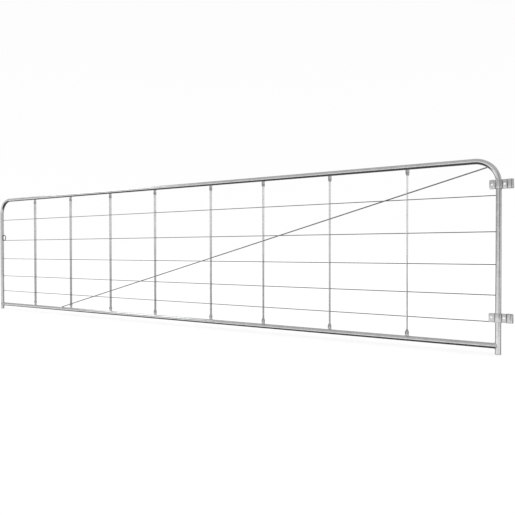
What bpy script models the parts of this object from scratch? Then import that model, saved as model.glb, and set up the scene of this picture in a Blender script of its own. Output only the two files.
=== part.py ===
"""Livestock panel gate: a bent pipe hoop with a bottom rail, twisted flat-bar uprights, threaded
wires, a diagonal brace rod, a chain ring and two folded hinge straps. Metres, +Z up. The gate lies in
the XZ plane. The Z axis is the axis it swings on, through both hinge eyes, and the gate reaches from
there towards -X. Z = 0 is the bottom of the stile feet."""

from math import atan2, cos, pi, radians, sin, sqrt, tau

import bmesh
import bpy
from mathutils import Matrix, Vector

GAP = 0.0003                  # clearance between separate pieces, and in threaded holes
CUT_PAST = 0.05               # how far a cutting tool runs past what it cuts
SHARP_EDGE = radians(35.0)    # faces that meet at a larger angle than this keep a crisp edge

# Pipe frame
PIPE_R = 0.01685              # 33.7 mm outside diameter pipe
PIPE_WALL = 0.0024
PIPE_SIDES = 28
SPAN = 4.846                  # between the stiles' centre lines
HEIGHT = 1.170                # stile feet to the top of the top rail
BEND_R = 0.137                # centre line radius of the top corners
BEND_STEPS = 10
TOP_Z = HEIGHT - PIPE_R
BOTTOM_Z = 0.050              # bottom rail centre line

# Flat-bar uprights, at these distances from the hinge stile's centre line
UPRIGHT_PITCH = 0.5365
UPRIGHT_COUNT = 8
SHIFTED_UPRIGHT = 4           # this one, counted from the hinge, stands off the even spacing
SHIFTED_BY = -0.052
BAR_DEPTH = 0.025
BAR_THICK = 0.005
TAB_LENGTH = 0.010            # flat end that meets the rail, in the plane of the gate
TWIST_LENGTH = 0.032          # quarter turn between the tab and the bar
TWIST_STEPS = 8

# Horizontal wires, top to bottom
WIRE_R = 0.0025
WIRE_SIDES = 12
WIRE_HEIGHTS = (0.943, 0.728, 0.533, 0.351, 0.192)

# Diagonal brace rod, in front of the wires; distances are from the hinge stile's centre line
BRACE_R = 0.004
BRACE_SIDES = 14
BRACE_Y = -(WIRE_R + BRACE_R + GAP)
BRACE_TOP = (0.0628, 1.1119)
BRACE_FOOT = (3.874, 0.0712)
BRACE_SINK = 0.012            # rod carried into the top bend before its end is coped
FOOT_SINK = 0.036             # the foot is carried further, because it meets the rail at a low angle

# Chain ring on the latch stile, in front of the wires
RING_MEAN_R = 0.0285
RING_ROD_R = 0.004
RING_X = 0.043                # centre, from the latch stile's centre line
RING_Y = -(WIRE_R + RING_ROD_R + GAP)
RING_Z = 0.756
RING_STEPS = 36
RING_SIDES = 14

# Folded hinge straps
STRAP_THICK = 0.0035
STRAP_TALL = 0.054
STRAP_CLEAR = 0.0018          # loose fit round the stile, so the top one passes the start of the bend
STRAP_HEIGHTS = {"top_hinge_strap": 1.0085, "bottom_hinge_strap": 0.2165}
LEAF_Y = 0.00575              # middle of each leaf from the strap's mid plane
EAR_END = 0.052               # inner ear end from the stile's centre line
EYE_X = 0.0612                # eye centre from the stile's centre line
EYE_MEAN_R = 0.01845
FOLD_R = 0.006                # strap's fold radius beside the pipe and the eye
ARC_STEP = radians(11.0)
BOLT_R = 0.0065
BOLT_SIDES = 20
EAR_BOLT_X = -0.0385
WEB_BOLT_X = 0.0300

HINGE_X = -EYE_X              # centre lines of the two stiles
LATCH_X = HINGE_X - SPAN

STEEL = (0.60, 0.61, 0.62, 1.0)
DARK_STEEL = (0.45, 0.46, 0.47, 1.0)


def clear_scene():
    for obj in list(bpy.data.objects):
        bpy.data.objects.remove(obj, do_unlink=True)


def steel(name, colour, roughness):
    material = bpy.data.materials.new(name)
    material.use_nodes = True
    shader = material.node_tree.nodes["Principled BSDF"]
    shader.inputs["Base Color"].default_value = colour
    shader.inputs["Roughness"].default_value = roughness
    shader.inputs["Metallic"].default_value = 0.9
    return material


def link_object(name, bm, colour=STEEL, roughness=0.45, smooth=True):
    """Turn a bmesh into a scene object with its own material and smooth round sides."""
    bmesh.ops.recalc_face_normals(bm, faces=bm.faces)
    mesh = bpy.data.meshes.new(name)
    bm.to_mesh(mesh)
    bm.free()
    obj = bpy.data.objects.new(name, mesh)
    bpy.context.scene.collection.objects.link(obj)
    obj.data.materials.append(steel(name + "_finish", colour, roughness))
    if smooth:
        mesh.shade_smooth()
        mesh.set_sharp_from_angle(angle=SHARP_EDGE)
    return obj


def add_ring(bm, centre, across, up, radius, sides):
    """One circle of vertices round a centre, in the plane of two unit vectors."""
    ring = []
    for step in range(sides):
        turn = tau * step / sides
        ring.append(bm.verts.new(centre + radius * (cos(turn) * across + sin(turn) * up)))
    return ring


def bridge(bm, first, second):
    count = len(first)
    for step in range(count):
        after = (step + 1) % count
        bm.faces.new((first[step], first[after], second[after], second[step]))


def sweep(bm, stations, radius, sides):
    """Rings along a path of (point, across, up) stations, joined side to side."""
    rings = [add_ring(bm, point, across, up, radius, sides) for point, across, up in stations]
    for first, second in zip(rings, rings[1:]):
        bridge(bm, first, second)
    return rings


def hoop_stations():
    """The hoop's centre line from the latch foot over both bends to the hinge foot."""
    depth = Vector((0, 1, 0))
    stations = [(Vector((LATCH_X, 0, 0)), Vector((1, 0, 0)), depth)]
    corners = ((LATCH_X + BEND_R, pi), (HINGE_X - BEND_R, pi / 2))
    for centre_x, start in corners:
        for step in range(BEND_STEPS + 1):
            turn = start - (pi / 2) * step / BEND_STEPS
            outward = Vector((cos(turn), 0, sin(turn)))
            centre = Vector((centre_x, 0, TOP_Z - BEND_R))
            stations.append((centre + BEND_R * outward, -outward, depth))
    stations.append((Vector((HINGE_X, 0, 0)), Vector((-1, 0, 0)), depth))
    return stations


def hollow_pipe(bm, stations):
    outer = sweep(bm, stations, PIPE_R, PIPE_SIDES)
    inner = sweep(bm, stations, PIPE_R - PIPE_WALL, PIPE_SIDES)
    bridge(bm, outer[0], inner[0])
    bridge(bm, outer[-1], inner[-1])


def solid_rod(bm, start, end, radius, sides):
    """A capped round rod between two points."""
    along = (end - start).normalized()
    across = along.orthogonal().normalized()
    up = along.cross(across)
    rings = sweep(bm, [(start, across, up), (end, across, up)], radius, sides)
    bm.faces.new(rings[0])
    bm.faces.new(rings[-1])


def cutter(name, fill):
    """A hidden tool for a Boolean, filled by a function that draws into its bmesh."""
    bm = bmesh.new()
    fill(bm)
    obj = link_object(name, bm, smooth=False)
    obj.display_type = "WIRE"
    obj.hide_render = True
    return obj


def cut(obj, tool):
    modifier = obj.modifiers.new("cut_" + tool.name, "BOOLEAN")
    modifier.operation = "DIFFERENCE"
    modifier.solver = "EXACT"
    modifier.object = tool


def bake_cuts(obj, tools):
    """Apply an object's Booleans, then shade its round sides smooth again."""
    for tool in tools:
        cut(obj, tool)
    bpy.context.view_layer.update()
    evaluated = obj.evaluated_get(bpy.context.evaluated_depsgraph_get())
    mesh = bpy.data.meshes.new_from_object(evaluated)
    obj.modifiers.clear()
    obj.data = mesh
    mesh.shade_smooth()
    mesh.set_sharp_from_angle(angle=SHARP_EDGE)


def stile_cutter():
    def fill(bm):
        for x in (LATCH_X, HINGE_X):
            foot = Vector((x, 0, -CUT_PAST))
            solid_rod(bm, foot, Vector((x, 0, TOP_Z - BEND_R)), PIPE_R + GAP, PIPE_SIDES)
    return cutter("stile_cutter", fill)


def hoop_cutter():
    """The hoop as a solid bar, a clearance larger all round."""
    def fill(bm):
        rings = sweep(bm, hoop_stations(), PIPE_R + GAP, PIPE_SIDES)
        bm.faces.new(rings[0])
        bm.faces.new(rings[-1])
    return cutter("hoop_cutter", fill)


def rail_cutter():
    def fill(bm):
        start = Vector((LATCH_X, 0, BOTTOM_Z))
        solid_rod(bm, start, Vector((HINGE_X, 0, BOTTOM_Z)), PIPE_R + GAP, PIPE_SIDES)
    return cutter("rail_cutter", fill)


def wire_cutter():
    def fill(bm):
        for height in WIRE_HEIGHTS:
            start = Vector((LATCH_X, 0, height))
            solid_rod(bm, start, Vector((HINGE_X, 0, height)), WIRE_R + GAP, WIRE_SIDES)
    return cutter("wire_cutter", fill)


def brace_ends():
    """The brace's end points, carried on along its slope into the pipes."""
    top = Vector((HINGE_X - BRACE_TOP[0], BRACE_Y, BRACE_TOP[1]))
    foot = Vector((HINGE_X - BRACE_FOOT[0], BRACE_Y, BRACE_FOOT[1]))
    along = (foot - top).normalized()
    return top - along * BRACE_SINK, foot + along * FOOT_SINK


def brace_cutter():
    def fill(bm):
        top, foot = brace_ends()
        solid_rod(bm, top, foot, BRACE_R + GAP, BRACE_SIDES)
    return cutter("brace_cutter", fill)


def make_hoop():
    bm = bmesh.new()
    hollow_pipe(bm, hoop_stations())
    return link_object("frame_hoop", bm)


def make_bottom_rail(stiles):
    bm = bmesh.new()
    across = Vector((0, 1, 0))
    up = Vector((0, 0, 1))
    ends = [(Vector((x, 0, BOTTOM_Z)), across, up) for x in (LATCH_X, HINGE_X)]
    hollow_pipe(bm, ends)
    rail = link_object("bottom_rail", bm)
    bake_cuts(rail, [stiles])


def bar_section(bm, x, height, angle):
    """One rectangle of the flat bar; angle is its width's turn from the Y axis."""
    width = Vector((sin(angle), cos(angle), 0)) * BAR_DEPTH / 2
    thick = Vector((cos(angle), -sin(angle), 0)) * BAR_THICK / 2
    middle = Vector((x, 0, height))
    corners = (width + thick, thick - width, -width - thick, width - thick)
    return [bm.verts.new(middle + corner) for corner in corners]


def upright_distances():
    """Distances from the hinge stile's centre line."""
    distances = []
    for number in range(1, UPRIGHT_COUNT + 1):
        shift = SHIFTED_BY if number == SHIFTED_UPRIGHT else 0.0
        distances.append(number * UPRIGHT_PITCH + shift)
    return distances


def make_upright(number, distance, tools):
    low = BOTTOM_Z + PIPE_R + GAP
    high = TOP_Z - PIPE_R - GAP
    turns = [step / TWIST_STEPS for step in range(TWIST_STEPS + 1)]
    stations = [(low, pi / 2)]
    stations += [(low + TAB_LENGTH + TWIST_LENGTH * part, (1 - part) * pi / 2) for part in turns]
    stations += [(high - TAB_LENGTH - TWIST_LENGTH * (1 - part), part * pi / 2) for part in turns]
    stations.append((high, pi / 2))
    bm = bmesh.new()
    rings = [bar_section(bm, HINGE_X - distance, height, angle) for height, angle in stations]
    for first, second in zip(rings, rings[1:]):
        bridge(bm, first, second)
    bm.faces.new(rings[0])
    bm.faces.new(rings[-1])
    obj = link_object(f"upright_{number}", bm, roughness=0.5)
    bake_cuts(obj, tools)


def make_wires():
    reach = PIPE_R + GAP
    for number, height in enumerate(WIRE_HEIGHTS, 1):
        bm = bmesh.new()
        start = Vector((LATCH_X + reach, 0, height))
        end = Vector((HINGE_X - reach, 0, height))
        solid_rod(bm, start, end, WIRE_R, WIRE_SIDES)
        link_object(f"wire_{number}", bm, colour=DARK_STEEL)


def make_brace(hoop_tool, rail_tool):
    bm = bmesh.new()
    top, foot = brace_ends()
    solid_rod(bm, top, foot, BRACE_R, BRACE_SIDES)
    brace = link_object("diagonal_brace", bm, colour=DARK_STEEL)
    bake_cuts(brace, [hoop_tool, rail_tool])


def make_chain_ring(stiles):
    bm = bmesh.new()
    centre = Vector((LATCH_X + RING_X, RING_Y, RING_Z))
    rings = []
    for step in range(RING_STEPS):
        turn = tau * step / RING_STEPS
        outward = Vector((cos(turn), 0, sin(turn)))
        spot = centre + RING_MEAN_R * outward
        rings.append(add_ring(bm, spot, outward, Vector((0, 1, 0)), RING_ROD_R, RING_SIDES))
    for first, second in zip(rings, rings[1:] + rings[:1]):
        bridge(bm, first, second)
    ring = link_object("chain_ring", bm, colour=DARK_STEEL)
    bake_cuts(ring, [stiles])


def arc(centre_x, centre_y, radius, start, end):
    """Points and outward-left normals along an arc; negative sweeps run clockwise."""
    count = max(2, round(abs(end - start) / ARC_STEP))
    sense = 1.0 if end > start else -1.0
    points = []
    for step in range(count + 1):
        turn = start + (end - start) * step / count
        radial = Vector((cos(turn), sin(turn)))
        points.append((Vector((centre_x, centre_y)) + radius * radial, -sense * radial))
    return points


def strap_half_line():
    """Centre line of the strap's front leaf, from the ear end to the far side of the eye."""
    wrap_r = PIPE_R + STRAP_CLEAR + STRAP_THICK / 2
    fold_y = -(LEAF_Y + FOLD_R)
    wrap_fold_x = sqrt((wrap_r + FOLD_R) ** 2 - fold_y ** 2)
    wrap_turn = atan2(-fold_y, wrap_fold_x)
    eye_fold_x = sqrt((EYE_MEAN_R + FOLD_R) ** 2 - fold_y ** 2)
    eye_turn = atan2(-fold_y, eye_fold_x)
    line = [(Vector((-EAR_END, -LEAF_Y)), Vector((0, 1)))]
    line += arc(-wrap_fold_x, fold_y, FOLD_R, pi / 2, wrap_turn)
    line += arc(0, 0, wrap_r, pi + wrap_turn, tau - wrap_turn)[1:]
    line += arc(wrap_fold_x, fold_y, FOLD_R, pi - wrap_turn, pi / 2)[1:]
    line += arc(EYE_X - eye_fold_x, fold_y, FOLD_R, pi / 2, eye_turn)
    line += arc(EYE_X, 0, EYE_MEAN_R, pi + eye_turn, tau)[1:]
    return line


def make_strap(name, height):
    """A flat strap folded round the stile and round the eye, with its two ends as ears."""
    front = strap_half_line()
    mirrored = [(Vector((p.x, -p.y)), Vector((n.x, -n.y))) for p, n in reversed(front[:-1])]
    half = STRAP_THICK / 2
    bm = bmesh.new()
    sections = []
    for point, normal in front + mirrored:
        section = []
        for side, level in ((1, -1), (-1, -1), (-1, 1), (1, 1)):
            spot = point + normal * half * side
            z = height + level * STRAP_TALL / 2
            section.append(bm.verts.new((HINGE_X + spot.x, spot.y, z)))
        sections.append(section)
    for first, second in zip(sections, sections[1:]):
        bridge(bm, first, second)
    bm.faces.new(sections[0])
    bm.faces.new(sections[-1])
    strap = link_object(name, bm, roughness=0.4)

    def fill(tool):
        for x in (EAR_BOLT_X, WEB_BOLT_X):
            start = Vector((HINGE_X + x, -CUT_PAST, height))
            solid_rod(tool, start, Vector((HINGE_X + x, CUT_PAST, height)), BOLT_R, BOLT_SIDES)
    holes = cutter(name + "_holes", fill)
    bake_cuts(strap, [holes])
    bpy.data.objects.remove(holes, do_unlink=True)
    move_origin(strap, Vector((HINGE_X, 0, height)))


def move_origin(obj, origin):
    """Put an object's origin on its joint axis without moving its mesh in the world."""
    obj.data.transform(Matrix.Translation(-origin))
    obj.location = origin


def main():
    clear_scene()
    stiles = stile_cutter()
    hoop_tool = hoop_cutter()
    rail_tool = rail_cutter()
    threaded = [wire_cutter(), brace_cutter()]
    make_hoop()
    make_bottom_rail(stiles)
    for number, distance in enumerate(upright_distances(), 1):
        make_upright(number, distance, threaded)
    make_wires()
    make_brace(hoop_tool, rail_tool)
    make_chain_ring(stiles)
    for name, height in STRAP_HEIGHTS.items():
        make_strap(name, height)
    for tool in (stiles, hoop_tool, rail_tool, *threaded):
        bpy.data.objects.remove(tool, do_unlink=True)


main()
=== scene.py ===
"""The looks of a galvanised livestock panel gate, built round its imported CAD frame."""

import random
from math import atan2, cos, pi, radians, sin, sqrt, tau

import bmesh
import bpy
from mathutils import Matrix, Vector


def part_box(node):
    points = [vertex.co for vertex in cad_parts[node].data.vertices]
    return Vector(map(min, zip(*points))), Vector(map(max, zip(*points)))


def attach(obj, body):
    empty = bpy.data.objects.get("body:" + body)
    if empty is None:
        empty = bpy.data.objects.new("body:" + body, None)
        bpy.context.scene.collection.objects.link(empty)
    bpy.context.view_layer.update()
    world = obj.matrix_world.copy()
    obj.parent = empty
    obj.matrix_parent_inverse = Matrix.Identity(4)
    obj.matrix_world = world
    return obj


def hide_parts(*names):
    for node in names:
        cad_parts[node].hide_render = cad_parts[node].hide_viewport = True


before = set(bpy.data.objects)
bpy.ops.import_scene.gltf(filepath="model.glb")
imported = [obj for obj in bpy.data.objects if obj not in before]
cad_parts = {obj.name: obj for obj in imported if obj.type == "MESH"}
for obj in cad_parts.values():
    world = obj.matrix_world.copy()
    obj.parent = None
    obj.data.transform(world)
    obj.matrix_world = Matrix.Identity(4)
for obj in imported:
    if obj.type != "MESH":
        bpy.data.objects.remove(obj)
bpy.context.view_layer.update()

X_AXIS = Vector((1, 0, 0))
Y_AXIS = Vector((0, 1, 0))
Z_AXIS = Vector((0, 0, 1))

# ---- Measures from the frame, and those of the CAD that its boxes don't give ----------------------
HOOP_LOW, HOOP_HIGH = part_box("frame_hoop")
PIPE_R = (HOOP_HIGH.y - HOOP_LOW.y) / 2
PIPE_WALL = 0.0024
HINGE_X = HOOP_HIGH.x - PIPE_R
LATCH_X = HOOP_LOW.x + PIPE_R
TOP_Z = HOOP_HIGH.z - PIPE_R
BEND_R = 0.137
RAIL_LOW, RAIL_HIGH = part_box("bottom_rail")
RAIL_Z = (RAIL_LOW.z + RAIL_HIGH.z) / 2
GATE_MIDDLE_X = (HINGE_X + LATCH_X) / 2
STILES = ((LATCH_X, 1), (HINGE_X, -1))

UPRIGHTS = [f"upright_{number}" for number in range(1, 9)]
WIRES = [f"wire_{number}" for number in range(1, 6)]
BAR_DEPTH = 0.025
BAR_THICK = 0.005
TAB_LENGTH = 0.010
TWIST_LENGTH = 0.032
WIRE_R = 0.0025

BRACE_LOW, BRACE_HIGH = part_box("diagonal_brace")
BRACE_Y = (BRACE_LOW.y + BRACE_HIGH.y) / 2
BRACE_R = (BRACE_HIGH.y - BRACE_LOW.y) / 2
BRACE_TOP = Vector((HINGE_X - 0.0628, BRACE_Y, 1.1119))
BRACE_FOOT = Vector((HINGE_X - 3.874, BRACE_Y, 0.0712))
BRACE_ALONG = (BRACE_FOOT - BRACE_TOP).normalized()

RING_LOW, RING_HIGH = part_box("chain_ring")
RING_ROD_R = 0.004
RING_MEAN_R = (RING_HIGH.z - RING_LOW.z) / 2 - RING_ROD_R
RING_CENTRE = Vector((
    RING_HIGH.x - RING_MEAN_R - RING_ROD_R,
    (RING_LOW.y + RING_HIGH.y) / 2,
    (RING_LOW.z + RING_HIGH.z) / 2,
))

GAP = 0.0003
STRAP_CLEAR = 0.0018
STRAP_THICK = 0.0035
EAR_CORNER_R = 0.006
LEAF_Y = 0.00575
EAR_END = 0.052
EYE_X = -HINGE_X
EYE_MEAN_R = 0.01845
FOLD_R = 0.006
BOLT_R = 0.0065
BOLT_XS = (-0.0385, 0.0300)

# ---- Edges and steps of the smooth shapes, which only the looks need ------------------------------
PIPE_SIDES = 64
BEND_STEPS = 28
PIPE_END_RINGS = (0.0, 0.0008, 0.0030)
PIPE_OUTER_CHAMFER = 0.0006
PIPE_INNER_CHAMFER = 0.0004
BAR_EDGE_R = 0.0009
STRAP_EDGE_R = 0.0008
EDGE_STEPS = 3
TWIST_STEPS = 20
BAR_HOLD = 0.002
LONG_ROD_STEPS = 40
WIRE_SIDES = 20
WIRE_SINK = 0.0005
BRACE_SIDES = 28
BRACE_SINK = 0.004
RING_SIDES = 24
RING_STEPS = 60
RING_SINK = radians(5)
ARC_STEP = radians(4.0)
ARC_LEAST_STEPS = 3
EAR_CORNER_STEPS = 6
EAR_HOLD = 0.7
SMOOTH_ANGLE = radians(38)
WELD_SMOOTH_ANGLE = radians(60)
BEAD_SIDES = 10
BEAD_STEP = 0.0009
BEAD_LEAST_STEPS = 6
BEAD_RIPPLE_RISE = 0.13
BEAD_UNEVENNESS = 0.06
BEAD_TAPER_POINTS = 3
BEAD_TIP = 0.10

# ---- Tools that drill the holes -------------------------------------------------------------------
WIRE_DRILL_SIDES = 24
BRACE_DRILL_REACH = 0.05
BOLT_DRILL_SIDES = 40
BOLT_DRILL_HALF = 0.03


# ---- Materials ------------------------------------------------------------------------------------
METALLIC = 0.92
ZINC_TINT = (1.0, 1.004, 1.012)
OXIDE_TINT = (1.35, 1.36, 1.36)
CLOUD_SCALE, CLOUD_DETAIL = 14.0, 6.0
OXIDE_SCALE, OXIDE_DETAIL = 46.0, 8.0
SKIN_SCALE, SKIN_DETAIL = 130.0, 4.0
GRAIN_SCALE, GRAIN_DETAIL = 900.0, 2.0
CRYSTAL_TONES = (0.93, 1.07)
CLOUD_TONES = (0.93, 1.08)
CLOUD_SPAN = (0.3, 0.7)
OXIDE_SPAN = (0.52, 0.66)
OXIDE_ROUGH_SPAN = (0.5, 0.7)
OXIDE_ROUGH = 0.12
CRYSTAL_SHINE, CRYSTAL_HAZE = 0.03, 0.05
SKIN_RELIEF = 0.9
GRAIN_RELIEF = 0.12
RELIEF_HEIGHT = 0.0006


def galvanised(name, shade, rough, spangle=95.0, lumps=0.18, dull=0.25, painted_shade_ends=None):
    """Zinc coating: crystal spangle, cloudy tone, dull oxide patches and a lumpy skin. The last
    argument, when given, paints shade onto a bar's ends: (bottom z, top z, length of each fade, tone
    beyond those heights)."""
    material = bpy.data.materials.new(name)
    material.use_nodes = True
    nodes = material.node_tree.nodes
    links = material.node_tree.links
    shader = nodes["Principled BSDF"]
    shader.inputs["Metallic"].default_value = METALLIC
    place = nodes.new("ShaderNodeTexCoord")

    def texture(kind, scale, detail=None, output="Fac"):
        node = nodes.new(kind)
        node.inputs["Scale"].default_value = scale
        if detail is not None:
            node.inputs["Detail"].default_value = detail
        links.new(place.outputs["Object"], node.inputs["Vector"])
        return node.outputs[output]

    def spread(value, low, high, span=(0.0, 1.0)):
        node = nodes.new("ShaderNodeMapRange")
        node.inputs["From Min"].default_value = span[0]
        node.inputs["From Max"].default_value = span[1]
        node.inputs["To Min"].default_value = low
        node.inputs["To Max"].default_value = high
        links.new(value, node.inputs["Value"])
        return node.outputs["Result"]

    def combine(operation, first, second):
        node = nodes.new("ShaderNodeMath")
        node.operation = operation
        links.new(first, node.inputs[0])
        links.new(second, node.inputs[1])
        return node.outputs["Value"]

    crystals = nodes.new("ShaderNodeSeparateColor")
    links.new(texture("ShaderNodeTexVoronoi", spangle, output="Color"), crystals.inputs["Color"])
    clouds = texture("ShaderNodeTexNoise", CLOUD_SCALE, CLOUD_DETAIL)
    oxide = texture("ShaderNodeTexNoise", OXIDE_SCALE, OXIDE_DETAIL)
    skin = texture("ShaderNodeTexNoise", SKIN_SCALE, SKIN_DETAIL)
    grain = texture("ShaderNodeTexNoise", GRAIN_SCALE, GRAIN_DETAIL)

    crystal_tone = spread(crystals.outputs["Red"], *CRYSTAL_TONES)
    tone = combine("MULTIPLY", crystal_tone, spread(clouds, *CLOUD_TONES, CLOUD_SPAN))
    # Painted shade: the tone is darkened towards both given heights, so the bar's ends stay darker.
    if painted_shade_ends:
        low, high, reach, depth = painted_shade_ends
        split = nodes.new("ShaderNodeSeparateXYZ")
        links.new(place.outputs["Object"], split.inputs["Vector"])
        for span in ((low, low + reach), (high, high - reach)):
            tone = combine("MULTIPLY", tone, spread(split.outputs["Z"], depth, 1.0, span))
    patches = spread(oxide, 0.0, dull, OXIDE_SPAN)
    blend = nodes.new("ShaderNodeMix")
    blend.data_type = "RGBA"
    blend.blend_type = "MIX"
    scaled = nodes.new("ShaderNodeVectorMath")
    scaled.operation = "SCALE"
    scaled.inputs[0].default_value = [shade * part for part in ZINC_TINT]
    links.new(tone, scaled.inputs["Scale"])
    links.new(patches, blend.inputs["Factor"])
    links.new(scaled.outputs["Vector"], blend.inputs["A"])
    blend.inputs["B"].default_value = [shade * part for part in OXIDE_TINT] + [1.0]
    links.new(blend.outputs["Result"], shader.inputs["Base Color"])

    crystal_rough = spread(crystals.outputs["Green"], rough - CRYSTAL_SHINE, rough + CRYSTAL_HAZE)
    sheen = combine("ADD", crystal_rough, spread(oxide, 0.0, OXIDE_ROUGH, OXIDE_ROUGH_SPAN))
    links.new(sheen, shader.inputs["Roughness"])

    relief = combine("ADD", spread(skin, 0.0, SKIN_RELIEF), spread(grain, 0.0, GRAIN_RELIEF))
    bump = nodes.new("ShaderNodeBump")
    bump.inputs["Strength"].default_value = lumps
    bump.inputs["Distance"].default_value = RELIEF_HEIGHT
    links.new(relief, bump.inputs["Height"])
    links.new(bump.outputs["Normal"], shader.inputs["Normal"])
    return material


# Painted shade: the tabs and twists at the ends of the flat bars are darkened in their colour, standing
# in for the shade and dark reflections on the twisted ends.
PAINTED_SHADE_REACH = 0.045
PAINTED_SHADE_FADE = 0.02
PAINTED_SHADE_TONE = 0.62
BAR_PAINTED_SHADE_ENDS = (RAIL_Z + PAINTED_SHADE_REACH, TOP_Z - PAINTED_SHADE_REACH, PAINTED_SHADE_FADE, PAINTED_SHADE_TONE)

PIPE_ZINC = galvanised("pipe_zinc", shade=0.39, rough=0.14, lumps=0.10, dull=0.10)
BAR_ZINC = galvanised("flat_bar_zinc", shade=0.44, rough=0.26, spangle=120.0, painted_shade_ends=BAR_PAINTED_SHADE_ENDS)
WIRE_ZINC = galvanised("wire_zinc", shade=0.075, rough=0.30, spangle=260.0, lumps=0.12)
ROD_ZINC = galvanised("rod_zinc", shade=0.19, rough=0.28, spangle=200.0)
STRAP_ZINC = galvanised("strap_zinc", shade=0.37, rough=0.24, spangle=110.0)
WELD_ZINC = galvanised("weld_zinc", shade=0.50, rough=0.48, spangle=320.0, lumps=0.5, dull=0.6)


# ---- Mesh helpers ---------------------------------------------------------------------------------
def link_mesh(name, bm):
    """Put a bmesh in the scene as an object, its normals all facing outwards."""
    bmesh.ops.recalc_face_normals(bm, faces=bm.faces)
    mesh = bpy.data.meshes.new(name)
    bm.to_mesh(mesh)
    bm.free()
    obj = bpy.data.objects.new(name, mesh)
    bpy.context.scene.collection.objects.link(obj)
    return obj


def finish_piece(name, bm, material, body, replaced=(), angle=SMOOTH_ANGLE, cutters=()):
    """Turn a bmesh into a smooth shaded piece that rides a body and stands for CAD nodes."""
    obj = link_mesh(name, bm)
    for cutter in cutters:
        modifier = obj.modifiers.new("hole", "BOOLEAN")
        modifier.object = cutter
    if cutters:
        evaluated = obj.evaluated_get(bpy.context.evaluated_depsgraph_get())
        drilled = bpy.data.meshes.new_from_object(evaluated)
        obj.modifiers.clear()
        obj.data = drilled
    obj.data.materials.clear()
    obj.data.materials.append(material)
    obj.data.shade_smooth()
    obj.data.set_sharp_from_angle(angle=angle)
    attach(obj, body)
    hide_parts(*replaced)


def ring_of(bm, centre, across, up, radius, sides):
    """A circle of vertices round a centre; across and up are unit vectors in its plane."""
    return [
        bm.verts.new(centre + radius * (cos(tau * n / sides) * across + sin(tau * n / sides) * up))
        for n in range(sides)
    ]


def bridge(bm, first, second):
    """A band of faces between two rings of vertices."""
    count = len(first)
    for n in range(count):
        bm.faces.new((first[n], first[(n + 1) % count], second[(n + 1) % count], second[n]))


def skin_rings(bm, rings, closed=False, caps=True):
    """A tube through a row of rings, joined end to end, capped or left open."""
    for first, second in zip(rings, rings[1:]):
        bridge(bm, first, second)
    if closed:
        bridge(bm, rings[-1], rings[0])
    elif caps:
        bm.faces.new(rings[0])
        bm.faces.new(rings[-1])


def rod(bm, start, end, radius, sides, steps=1):
    """A straight round bar from start to end."""
    along = (end - start).normalized()
    across = along.cross(Y_AXIS)
    across = across.normalized() if across.length > 0.1 else X_AXIS
    up = along.cross(across)
    spots = [start.lerp(end, n / steps) for n in range(steps + 1)]
    skin_rings(bm, [ring_of(bm, spot, across, up, radius, sides) for spot in spots])


def make_cutter(fill):
    """A solid that only drills holes; it is removed again once the holes are made."""
    bm = bmesh.new()
    fill(bm)
    return link_mesh("drill", bm)


def remove_cutter(cutter):
    bpy.data.objects.remove(cutter, do_unlink=True)


def bead(bm, points, radius, seed, closed=False, ripple=0.0035):
    """A weld bead along a path: a tube with solidified ripples, drawn in at its ends."""
    draw = random.Random(seed)
    count = len(points)
    rings = []
    travelled = 0.0
    across = None
    for n, point in enumerate(points):
        before = points[n - 1] if n or closed else point
        after = points[(n + 1) % count] if n + 1 < count or closed else point
        along = (after - before).normalized()
        if across is None:
            across = along.orthogonal().normalized()
        across = (across - across.dot(along) * along).normalized()
        up = along.cross(across)
        if n:
            travelled += (point - points[n - 1]).length
        rise = BEAD_RIPPLE_RISE * cos(tau * travelled / ripple)
        size = 1.0 + rise + draw.uniform(-BEAD_UNEVENNESS, BEAD_UNEVENNESS)
        if not closed:
            from_end = min(n, count - 1 - n) / BEAD_TAPER_POINTS
            size *= sqrt(min(1.0, BEAD_TIP + from_end))
        rings.append(ring_of(bm, point, across, up, radius * size, BEAD_SIDES))
    skin_rings(bm, rings, closed=closed)


def line_points(start, end):
    """Points along a straight bead."""
    count = max(BEAD_LEAST_STEPS, round((end - start).length / BEAD_STEP))
    return [start.lerp(end, n / count) for n in range(count + 1)]


# ---- Pipe frame -----------------------------------------------------------------------------------
def hoop_path():
    """(centre, direction towards the inside of the hoop) from the latch foot to the hinge foot."""
    path = [(Vector((LATCH_X, 0, z)), X_AXIS) for z in PIPE_END_RINGS]
    for centre_x, start in ((LATCH_X + BEND_R, pi), (HINGE_X - BEND_R, pi / 2)):
        for n in range(BEND_STEPS + 1):
            turn = start - pi / 2 * n / BEND_STEPS
            outward = Vector((cos(turn), 0, sin(turn)))
            centre = Vector((centre_x, 0, TOP_Z - BEND_R))
            path.append((centre + BEND_R * outward, -outward))
    path += [(Vector((HINGE_X, 0, z)), -X_AXIS) for z in reversed(PIPE_END_RINGS)]
    return path


def make_hoop():
    """Top rail and stiles as one bent hollow pipe, its cut ends slightly chamfered."""
    bm = bmesh.new()
    path = hoop_path()
    last = len(path) - 1
    outer = []
    inner = []
    for n, (spot, inward) in enumerate(path):
        cut_end = n in (0, last)
        outer_r = PIPE_R - (PIPE_OUTER_CHAMFER if cut_end else 0.0)
        inner_r = PIPE_R - PIPE_WALL + (PIPE_INNER_CHAMFER if cut_end else 0.0)
        outer.append(ring_of(bm, spot, inward, Y_AXIS, outer_r, PIPE_SIDES))
        inner.append(ring_of(bm, spot, inward, Y_AXIS, inner_r, PIPE_SIDES))
    skin_rings(bm, outer, caps=False)
    skin_rings(bm, inner, caps=False)
    bridge(bm, outer[0], inner[0])
    bridge(bm, outer[-1], inner[-1])
    finish_piece("galvanised_hoop", bm, PIPE_ZINC, "gate_panel", ["frame_hoop"])


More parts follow.
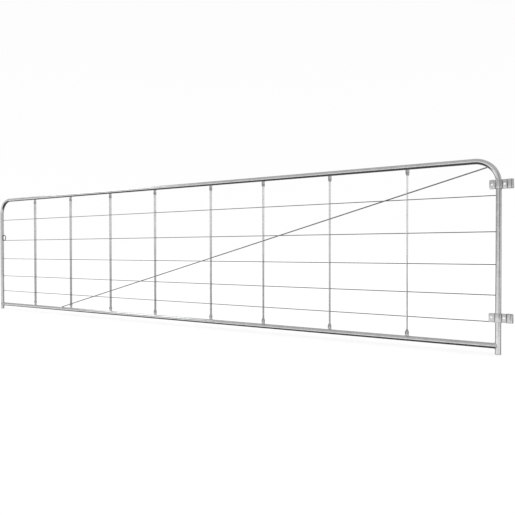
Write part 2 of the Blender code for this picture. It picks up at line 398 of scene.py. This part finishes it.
def coped_ring(bm, stile_x, side, radius):
    """One end of the bottom rail, cut to sit round a stile of the same diameter."""
    ring = []
    for n in range(PIPE_SIDES):
        turn = tau * n / PIPE_SIDES
        y = radius * sin(turn)
        x = stile_x + side * sqrt(max(0.0, (PIPE_R + GAP) ** 2 - y * y))
        ring.append(bm.verts.new((x, y, RAIL_Z + radius * cos(turn))))
    return ring


def make_bottom_rail():
    """Straight hollow pipe between the stiles, coped at both ends."""
    bm = bmesh.new()
    shells = []
    for radius in (PIPE_R, PIPE_R - PIPE_WALL):
        rings = [coped_ring(bm, LATCH_X, 1, radius), coped_ring(bm, HINGE_X, -1, radius)]
        bridge(bm, *rings)
        shells.append(rings)
    bridge(bm, shells[0][0], shells[1][0])
    bridge(bm, shells[0][1], shells[1][1])
    finish_piece("galvanised_bottom_rail", bm, PIPE_ZINC, "gate_panel", ["bottom_rail"])


# ---- Uprights, wires, brace and ring --------------------------------------------------------------
def rounded_section(bm, middle, width, thick, half_width, half_thick, edge):
    """A flat bar's outline with rounded edges; width and thick are unit vectors across it."""
    outline = []
    for corner, (side, face) in enumerate(((1, 1), (-1, 1), (-1, -1), (1, -1))):
        for n in range(EDGE_STEPS + 1):
            turn = pi / 2 * (corner + n / EDGE_STEPS)
            across = side * (half_width - edge) + edge * cos(turn)
            through = face * (half_thick - edge) + edge * sin(turn)
            outline.append(bm.verts.new(middle + width * across + thick * through))
    return outline


def upright_stations(low, high):
    """(height, turn from edge-on) from the bottom rail to the top rail. One more station just past
    each twist keeps its shading off the straight length."""
    parts = [n / TWIST_STEPS for n in range(TWIST_STEPS + 1)]
    twist = [(TAB_LENGTH + TWIST_LENGTH * part, (1 - part) * pi / 2) for part in parts]
    twist.append((TAB_LENGTH + TWIST_LENGTH + BAR_HOLD, 0.0))
    lower = [(low, pi / 2)] + [(low + up, turn) for up, turn in twist]
    upper = [(high - up, turn) for up, turn in reversed(twist)] + [(high, pi / 2)]
    return lower + upper


def make_upright(node, cutters):
    """Flat bar on edge, a quarter twist at each end, drilled for the wires and the brace."""
    low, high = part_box(node)
    middle_x = (low.x + high.x) / 2
    bm = bmesh.new()
    sections = []
    for height, turn in upright_stations(low.z, high.z):
        width = Vector((sin(turn), cos(turn), 0))
        thick = Vector((cos(turn), -sin(turn), 0))
        middle = Vector((middle_x, 0, height))
        sections.append(rounded_section(
            bm, middle, width, thick, BAR_DEPTH / 2, BAR_THICK / 2, BAR_EDGE_R))
    skin_rings(bm, sections)
    finish_piece("twisted_" + node, bm, BAR_ZINC, "gate_panel", [node], cutters=cutters)


def wire_height(node):
    """Height of a wire's centre line."""
    low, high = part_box(node)
    return (low.z + high.z) / 2


def drill_wires(bm):
    for node in WIRES:
        z = wire_height(node)
        start = Vector((LATCH_X, 0, z))
        end = Vector((HINGE_X, 0, z))
        rod(bm, start, end, WIRE_R + GAP, WIRE_DRILL_SIDES)


def drill_brace(bm):
    end = BRACE_FOOT + BRACE_ALONG * BRACE_DRILL_REACH
    rod(bm, BRACE_TOP, end, BRACE_R + GAP, BRACE_SIDES)


def make_uprights():
    cutters = [make_cutter(drill_wires), make_cutter(drill_brace)]
    for node in UPRIGHTS:
        make_upright(node, cutters)
    for cutter in cutters:
        remove_cutter(cutter)


def make_wire(node):
    """A taut wire, with its ends inside the welds on the stiles."""
    z = wire_height(node)
    bm = bmesh.new()
    start = Vector((LATCH_X + PIPE_R - WIRE_SINK, 0, z))
    end = Vector((HINGE_X - PIPE_R + WIRE_SINK, 0, z))
    rod(bm, start, end, WIRE_R, WIRE_SIDES, steps=LONG_ROD_STEPS)
    finish_piece("galvanised_" + node, bm, WIRE_ZINC, "gate_panel", [node])


def make_brace():
    """The diagonal rod, with its ends inside the welds."""
    sink = BRACE_ALONG * BRACE_SINK
    bm = bmesh.new()
    rod(bm, BRACE_TOP - sink, BRACE_FOOT + sink, BRACE_R, BRACE_SIDES, steps=LONG_ROD_STEPS)
    finish_piece("galvanised_brace", bm, ROD_ZINC, "gate_panel", ["diagonal_brace"])


def ring_end_turn():
    """Angle, from the ring's outer side, at which the ring's rod meets the stile."""
    reach = sqrt(PIPE_R ** 2 - RING_CENTRE.y ** 2)
    level = (LATCH_X + reach - RING_CENTRE.x) / RING_MEAN_R
    return atan2(sqrt(1 - level * level), level)


def ring_spot(turn):
    """A point on the ring's centre line, turn measured from its outer side."""
    return RING_CENTRE + RING_MEAN_R * Vector((cos(turn), 0, sin(turn)))


def make_chain_ring():
    """The open loop of round rod, with its ends inside the welds on the latch stile."""
    limit = ring_end_turn() + RING_SINK
    bm = bmesh.new()
    rings = []
    for n in range(RING_STEPS + 1):
        turn = limit * (2 * n / RING_STEPS - 1)
        outward = Vector((cos(turn), 0, sin(turn)))
        rings.append(ring_of(bm, ring_spot(turn), outward, Y_AXIS, RING_ROD_R, RING_SIDES))
    skin_rings(bm, rings)
    finish_piece("galvanised_chain_ring", bm, WIRE_ZINC, "gate_panel", ["chain_ring"])


# ---- Hinge straps ---------------------------------------------------------------------------------
def arc(centre_x, centre_y, radius, start, end):
    """(point, side direction) along a bend of the strap's centre line."""
    count = max(ARC_LEAST_STEPS, round(abs(end - start) / ARC_STEP))
    sense = 1.0 if end > start else -1.0
    points = []
    for n in range(count + 1):
        turn = start + (end - start) * n / count
        radial = Vector((cos(turn), sin(turn), 0))
        points.append((Vector((centre_x, centre_y, 0)) + radius * radial, -sense * radial))
    return points


def strap_line():
    """Centre line of the folded strap, ear to ear, as (point, side direction)."""
    wrap_r = PIPE_R + STRAP_CLEAR + STRAP_THICK / 2
    fold_y = -(LEAF_Y + FOLD_R)
    wrap_x = sqrt((wrap_r + FOLD_R) ** 2 - fold_y ** 2)
    wrap_turn = atan2(-fold_y, wrap_x)
    eye_x = sqrt((EYE_MEAN_R + FOLD_R) ** 2 - fold_y ** 2)
    eye_turn = atan2(-fold_y, eye_x)
    ear = EAR_END - wrap_x
    corner_parts = [n / EAR_CORNER_STEPS for n in range(EAR_CORNER_STEPS + 1)]
    corner = [EAR_CORNER_R * (1 - cos(pi / 2 * part)) for part in corner_parts]
    line = [(Vector((-EAR_END + near, -LEAF_Y, 0)), Y_AXIS) for near in corner]
    line += [(Vector((-EAR_END + ear * EAR_HOLD, -LEAF_Y, 0)), Y_AXIS)]
    line += arc(-wrap_x, fold_y, FOLD_R, pi / 2, wrap_turn)
    line += arc(0, 0, wrap_r, pi + wrap_turn, tau - wrap_turn)[1:]
    line += arc(wrap_x, fold_y, FOLD_R, pi - wrap_turn, pi / 2)[1:]
    line += arc(EYE_X - eye_x, fold_y, FOLD_R, pi / 2, eye_turn)
    line += arc(EYE_X, 0, EYE_MEAN_R, pi + eye_turn, tau)[1:]
    back = [(Vector((p.x, -p.y, 0)), Vector((n.x, -n.y, 0))) for p, n in reversed(line[:-1])]
    return line + back


def ear_half_height(x, full):
    """Half height of the strap at x from the stile, less at the rounded ear corners."""
    near = x + EAR_END
    if near >= EAR_CORNER_R:
        return full
    rise = sqrt(max(0.0, EAR_CORNER_R ** 2 - (EAR_CORNER_R - near) ** 2))
    return full - EAR_CORNER_R + rise


def make_strap(node, body):
    """Flat strap folded round the stile and the eye, drilled for its two bolts."""
    low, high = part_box(node)
    middle_z = (low.z + high.z) / 2
    half = (high.z - low.z) / 2
    bm = bmesh.new()
    sections = []
    for point, side in strap_line():
        middle = point + Vector((HINGE_X, 0, middle_z))
        sections.append(rounded_section(
            bm, middle, Z_AXIS, side, ear_half_height(point.x, half), STRAP_THICK / 2, STRAP_EDGE_R))
    skin_rings(bm, sections)

    def drill(tool):
        for x in BOLT_XS:
            start = Vector((HINGE_X + x, -BOLT_DRILL_HALF, middle_z))
            rod(tool, start, start + Y_AXIS * BOLT_DRILL_HALF * 2, BOLT_R, BOLT_DRILL_SIDES)

    cutter = make_cutter(drill)
    finish_piece("folded_" + node, bm, STRAP_ZINC, body, [node], cutters=[cutter])
    remove_cutter(cutter)


# ---- Welds ----------------------------------------------------------------------------------------
# Each kind has a bead radius, how far the bead's line stands off the metal, and a seed for its ripples.
COLLAR_POINTS = 40
RAIL_WELD_R = 0.0027
RAIL_WELD_RIPPLE = 0.0041
RAIL_WELD_POINTS = 120
RAIL_WELD_OFF_STILE = 0.0012
RAIL_WELD_OFF_SIDE = 0.0006
RAIL_WELD_OFF_TOP = 0.0004
RAIL_WELD_SEEDS = (1, 2)
WIRE_WELD_R = 0.0013
WIRE_WELD_RIPPLE = 0.0021
WIRE_WELD_POINTS = 24
WIRE_WELD_OFF_STILE = 0.0005
WIRE_WELD_OFF_WIRE = 0.0004
WIRE_WELD_SEED = 10
UPRIGHT_WELD_R = 0.0020
UPRIGHT_WELD_OFF_BAR = 0.0008
UPRIGHT_WELD_OFF_RAIL = 0.0006
UPRIGHT_WELD_PAST_BAR = 0.001
UPRIGHT_WELD_SEED = 30
BRACE_TOP_WELD_R = 0.0016
BRACE_TOP_WELD_OFF_ROD = 0.0005
BRACE_TOP_WELD_SEED = 70
BRACE_FOOT_WELD_R = 0.0019
BRACE_FOOT_WELD_OFF_ROD = 0.0002
BRACE_FOOT_WELD_OFF_RAIL = 0.0005
BRACE_FOOT_WELD_SPAN = (-0.012, 0.018)
BRACE_FOOT_WELD_SEED = 80
RING_WELD_R = 0.0018
RING_WELD_OFF_ROD = 0.0003
RING_WELD_SEED = 90


def collar_points(centre, direction, plane_normal, radius, count=COLLAR_POINTS):
    """The line where a rod's side meets a plane, a little larger than the rod."""
    across = direction.orthogonal().normalized()
    up = direction.cross(across)
    points = []
    for n in range(count):
        offset = radius * (cos(tau * n / count) * across + sin(tau * n / count) * up)
        slip = offset.dot(plane_normal) / direction.dot(plane_normal)
        points.append(centre + offset - direction * slip)
    return points


def saddle_points(stile_x, side):
    """Where the bottom rail meets a stile of the same diameter."""
    points = []
    for n in range(RAIL_WELD_POINTS):
        turn = tau * n / RAIL_WELD_POINTS
        y = (PIPE_R + RAIL_WELD_OFF_SIDE) * sin(turn)
        x = stile_x + side * sqrt(max(0.0, (PIPE_R + RAIL_WELD_OFF_STILE) ** 2 - y * y))
        points.append(Vector((x, y, RAIL_Z + (PIPE_R + RAIL_WELD_OFF_TOP) * cos(turn))))
    return points


def finish_welds(name, bm):
    finish_piece(name, bm, WELD_ZINC, "gate_panel", angle=WELD_SMOOTH_ANGLE)


def make_rail_welds():
    """A bead round each end of the bottom rail."""
    bm = bmesh.new()
    for (stile_x, side), seed in zip(STILES, RAIL_WELD_SEEDS):
        points = saddle_points(stile_x, side)
        bead(bm, points, RAIL_WELD_R, seed, closed=True, ripple=RAIL_WELD_RIPPLE)
    finish_welds("rail_welds", bm)


def make_wire_welds():
    """A bead round each end of each wire, where it meets the stile."""
    bm = bmesh.new()
    for number, node in enumerate(WIRES):
        seed = WIRE_WELD_SEED + number
        for stile_x, side in STILES:
            surface_x = stile_x + side * (PIPE_R + WIRE_WELD_OFF_STILE)
            centre = Vector((surface_x, 0, wire_height(node)))
            radius = WIRE_R + WIRE_WELD_OFF_WIRE
            points = collar_points(centre, X_AXIS, X_AXIS, radius, count=WIRE_WELD_POINTS)
            bead(bm, points, WIRE_WELD_R, seed, closed=True, ripple=WIRE_WELD_RIPPLE)
    finish_welds("wire_welds", bm)


def make_upright_welds():
    """A bead along each face of each tab, where it meets the rail."""
    bm = bmesh.new()
    for number, node in enumerate(UPRIGHTS):
        low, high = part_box(node)
        middle_x = (low.x + high.x) / 2
        for rail_z, up in ((RAIL_Z, 1), (TOP_Z, -1)):
            for face in (-1, 1):
                y = face * (BAR_THICK / 2 + UPRIGHT_WELD_OFF_BAR)
                level = rail_z + up * (sqrt(PIPE_R ** 2 - y * y) + UPRIGHT_WELD_OFF_RAIL)
                start = Vector((middle_x - BAR_DEPTH / 2 - UPRIGHT_WELD_PAST_BAR, y, level))
                end = Vector((middle_x + BAR_DEPTH / 2 + UPRIGHT_WELD_PAST_BAR, y, level))
                seed = UPRIGHT_WELD_SEED + 4 * number + face
                bead(bm, line_points(start, end), UPRIGHT_WELD_R, seed)
    finish_welds("upright_welds", bm)


def make_brace_welds():
    """A collar round the brace's top end, and a bead along each side of its foot."""
    bm = bmesh.new()
    bend_centre = Vector((HINGE_X - BEND_R, BRACE_Y, TOP_Z - BEND_R))
    inward = (bend_centre - BRACE_TOP).normalized()
    collar = collar_points(BRACE_TOP, BRACE_ALONG, inward, BRACE_R + BRACE_TOP_WELD_OFF_ROD)
    bead(bm, collar, BRACE_TOP_WELD_R, BRACE_TOP_WELD_SEED, closed=True)
    back, ahead = BRACE_FOOT_WELD_SPAN
    for side in (-1, 1):
        y = BRACE_Y + side * (BRACE_R + BRACE_FOOT_WELD_OFF_ROD)
        level = RAIL_Z + sqrt(PIPE_R ** 2 - y * y) + BRACE_FOOT_WELD_OFF_RAIL
        start = Vector((BRACE_FOOT.x + back, y, level))
        end = Vector((BRACE_FOOT.x + ahead, y, level))
        bead(bm, line_points(start, end), BRACE_FOOT_WELD_R, BRACE_FOOT_WELD_SEED + side)
    finish_welds("brace_welds", bm)


def make_ring_welds():
    """A collar round each end of the ring, where it meets the latch stile."""
    bm = bmesh.new()
    for sign in (-1, 1):
        turn = sign * ring_end_turn()
        spot = ring_spot(turn)
        along = Vector((-sin(turn), 0, cos(turn)))
        normal = Vector((spot.x - LATCH_X, spot.y, 0)).normalized()
        points = collar_points(spot, along, normal, RING_ROD_R + RING_WELD_OFF_ROD)
        bead(bm, points, RING_WELD_R, RING_WELD_SEED + sign, closed=True)
    finish_welds("ring_welds", bm)


# ---- Zinc drips -----------------------------------------------------------------------------------
DRIP_SEED = 7
DRIPS_PER_UPRIGHT = 2
DRIP_SCATTER = 0.18
DRIP_WIDTHS = (0.0011, 0.0018)
DRIP_DROPS = (0.0012, 0.0026)
DRIP_SINK = 0.0008
DRIP_STEPS = 8
DRIP_SIDES = 12
DRIP_NECK, DRIP_TAPER = 1.6, 1.1
DRIP_TIP = 0.02


def make_zinc_drips():
    """Frozen zinc beads under the bottom rail, where the coating ran off when it was dipped."""
    draw = random.Random(DRIP_SEED)
    bm = bmesh.new()
    for node in UPRIGHTS:
        low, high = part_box(node)
        for _ in range(DRIPS_PER_UPRIGHT):
            x = (low.x + high.x) / 2 + draw.uniform(-DRIP_SCATTER, DRIP_SCATTER)
            width = draw.uniform(*DRIP_WIDTHS)
            drop = draw.uniform(*DRIP_DROPS)
            rings = []
            for n in range(DRIP_STEPS + 1):
                fall = n / DRIP_STEPS
                z = RAIL_Z - PIPE_R + DRIP_SINK - (drop + DRIP_SINK) * fall
                size = width * (DRIP_NECK - DRIP_TAPER * fall) * sqrt(max(DRIP_TIP, 1 - fall ** 4))
                rings.append(ring_of(bm, Vector((x, 0, z)), X_AXIS, Y_AXIS, size, DRIP_SIDES))
            skin_rings(bm, rings)
    finish_piece("zinc_drips", bm, PIPE_ZINC, "gate_panel", angle=WELD_SMOOTH_ANGLE)


# ---- Stage ----------------------------------------------------------------------------------------
FLOOR_SIZE = 80
FLOOR_DROP = 0.0006
FLOOR_SHADE, FLOOR_ROUGH, FLOOR_GLOW = 0.4, 0.9, 0.62
CARD_SHADE, CARD_ROUGH = 0.2, 1.0

# The world's brightness at each height of the view direction, from straight down to straight up. Both
# sides are dark below, which gives each pipe its dark underside. The front's levels pass into the
# back's over a narrow band of directions, FRONT_TO_BACK to each side of the gate's plane.
FRONT_TO_BACK = 0.08
FRONT_LEVELS = [(-1.0, 0.01), (-0.50, 0.02), (-0.40, 1.9), (-0.08, 1.8), (0.05, 1.0), (1.0, 0.95)]
BACK_LEVELS = [(-1.0, 0.02), (-0.60, 0.03), (-0.52, 0.5), (-0.08, 0.5), (-0.02, 1.0), (1.0, 0.95)]

FRONT_BOX_PLACE = (0.5, -7.0, 1.3)
FRONT_BOX_AIM = (GATE_MIDDLE_X, 0, 0.6)
FRONT_BOX_SIZE = (7.0, 2.0)
FRONT_BOX_WATTS = 12

# name, place, turn, width, length, glow
REFLECTORS = (
    ("right_flag", (2.8, -4.2, 1.4), (0, pi / 2, radians(-56)), 4.0, 2.8, 0.15),
    ("left_flag", (-14.0, -2.2, 1.4), (0, pi / 2, radians(9)), 4.0, 4.4, 0.15),
    ("back_card", (2.2, 5.0, 2.3), (0, pi / 2, pi / 2), 3.0, 2.1, 1.8),
    ("left_top_card", (-6.8, -0.9, 4.0), (0, 0, 0), 2.6, 4.6, 3.5),
)

CAMERA_PLACE = (0.2656, -3.3437, 0.6111)
CAMERA_DOWN = radians(0.68)
CAMERA_LEFT = radians(30.714)
CAMERA_LENS = 35.92
CAMERA_SENSOR = 36.0


def plain_material(name, shade, roughness, glow):
    """A grey material with some glow of its own."""
    material = bpy.data.materials.new(name)
    material.use_nodes = True
    shader = material.node_tree.nodes["Principled BSDF"]
    shader.inputs["Base Color"].default_value = (shade, shade, shade, 1.0)
    shader.inputs["Roughness"].default_value = roughness
    shader.inputs["Emission Color"].default_value = (1, 1, 1, 1)
    shader.inputs["Emission Strength"].default_value = glow
    return material


def stage_plane(name, size_x, size_y, material):
    """A flat rectangle that belongs to the stage; it starts out level, under the gate's middle."""
    bm = bmesh.new()
    bmesh.ops.create_grid(bm, x_segments=1, y_segments=1, size=0.5)
    mesh = bpy.data.meshes.new(name)
    bm.to_mesh(mesh)
    bm.free()
    obj = bpy.data.objects.new(name, mesh)
    obj.scale = (size_x, size_y, 1)
    obj.location = (GATE_MIDDLE_X, 0, 0)
    mesh.materials.append(material)
    bpy.context.scene.collection.objects.link(obj)
    return obj


def make_front_box():
    """A wide soft light in front of the gate."""
    light = bpy.data.lights.new("front_box", "AREA")
    light.shape = "RECTANGLE"
    light.size, light.size_y = FRONT_BOX_SIZE
    light.energy = FRONT_BOX_WATTS
    obj = bpy.data.objects.new("front_box", light)
    obj.location = FRONT_BOX_PLACE
    aim = Vector(FRONT_BOX_AIM) - Vector(FRONT_BOX_PLACE)
    obj.rotation_euler = aim.to_track_quat("-Z", "Y").to_euler()
    bpy.context.scene.collection.objects.link(obj)


def studio_world(front, back):
    """Even surroundings whose brightness only depends on direction."""
    world = bpy.data.worlds.new("studio")
    world.use_nodes = True
    nodes = world.node_tree.nodes
    links = world.node_tree.links
    place = nodes.new("ShaderNodeTexCoord")
    split = nodes.new("ShaderNodeSeparateXYZ")
    links.new(place.outputs["Generated"], split.inputs["Vector"])

    def ramp(value, start, end):
        node = nodes.new("ShaderNodeMapRange")
        node.inputs["From Min"].default_value = start
        node.inputs["From Max"].default_value = end
        links.new(value, node.inputs["Value"])
        return node.outputs["Result"]

    def brightness(levels):
        brightest = max(level for _, level in levels)
        curve = nodes.new("ShaderNodeFloatCurve")
        points = curve.mapping.curves[0].points
        for _ in levels[2:]:
            points.new(0.5, 0.5)
        for point, (height, level) in zip(points, levels):
            point.location = ((height + 1) / 2, level / brightest)
            point.handle_type = "VECTOR"
        curve.mapping.update()
        links.new(ramp(split.outputs["Z"], -1.0, 1.0), curve.inputs["Value"])
        scale = nodes.new("ShaderNodeMath")
        scale.operation = "MULTIPLY"
        scale.inputs[1].default_value = brightest
        links.new(curve.outputs["Value"], scale.inputs[0])
        return scale.outputs["Value"]

    mix = nodes.new("ShaderNodeMix")
    links.new(ramp(split.outputs["Y"], -FRONT_TO_BACK, FRONT_TO_BACK), mix.inputs["Factor"])
    links.new(brightness(front), mix.inputs["A"])
    links.new(brightness(back), mix.inputs["B"])
    links.new(mix.outputs["Result"], nodes["Background"].inputs["Strength"])
    nodes["Background"].inputs["Color"].default_value = (1, 1, 1, 1)
    return world


def reflector(name, place, turn, width, length, glow):
    """A grey or bright card that only shows in the metal's reflections."""
    cloth = plain_material(name + "_cloth", CARD_SHADE, CARD_ROUGH, glow)
    card = stage_plane(name, width, length, cloth)
    card.rotation_euler = turn
    card.location = place
    card.visible_camera = False
    card.visible_diffuse = False
    card.visible_shadow = False


def make_stage():
    """Pale floor that the metal doesn't mirror, white surroundings, a soft light and the cards."""
    paint = plain_material("floor_paint", FLOOR_SHADE, FLOOR_ROUGH, FLOOR_GLOW)
    floor = stage_plane("pale_floor", FLOOR_SIZE, FLOOR_SIZE, paint)
    floor.location.z = -FLOOR_DROP
    floor.visible_glossy = False
    floor.visible_shadow = False
    scene = bpy.context.scene
    scene.world = studio_world(FRONT_LEVELS, BACK_LEVELS)
    scene.view_settings.view_transform = "Standard"
    make_front_box()
    for card in REFLECTORS:
        reflector(*card)


def make_camera():
    """The view from beyond the hinge end, looking along the gate towards its latch end."""
    camera = bpy.data.cameras.new("camera")
    camera.sensor_width = CAMERA_SENSOR
    camera.lens = CAMERA_LENS
    obj = bpy.data.objects.new("camera", camera)
    obj.location = CAMERA_PLACE
    obj.rotation_euler = (radians(90) - CAMERA_DOWN, 0, CAMERA_LEFT)
    bpy.context.scene.collection.objects.link(obj)
    bpy.context.scene.camera = obj


def main():
    make_hoop()
    make_bottom_rail()
    make_uprights()
    for node in WIRES:
        make_wire(node)
    make_brace()
    make_chain_ring()
    make_strap("top_hinge_strap", "top_strap")
    make_strap("bottom_hinge_strap", "bottom_strap")
    make_rail_welds()
    make_wire_welds()
    make_upright_welds()
    make_brace_welds()
    make_ring_welds()
    make_zinc_drips()
    make_stage()
    make_camera()


main()
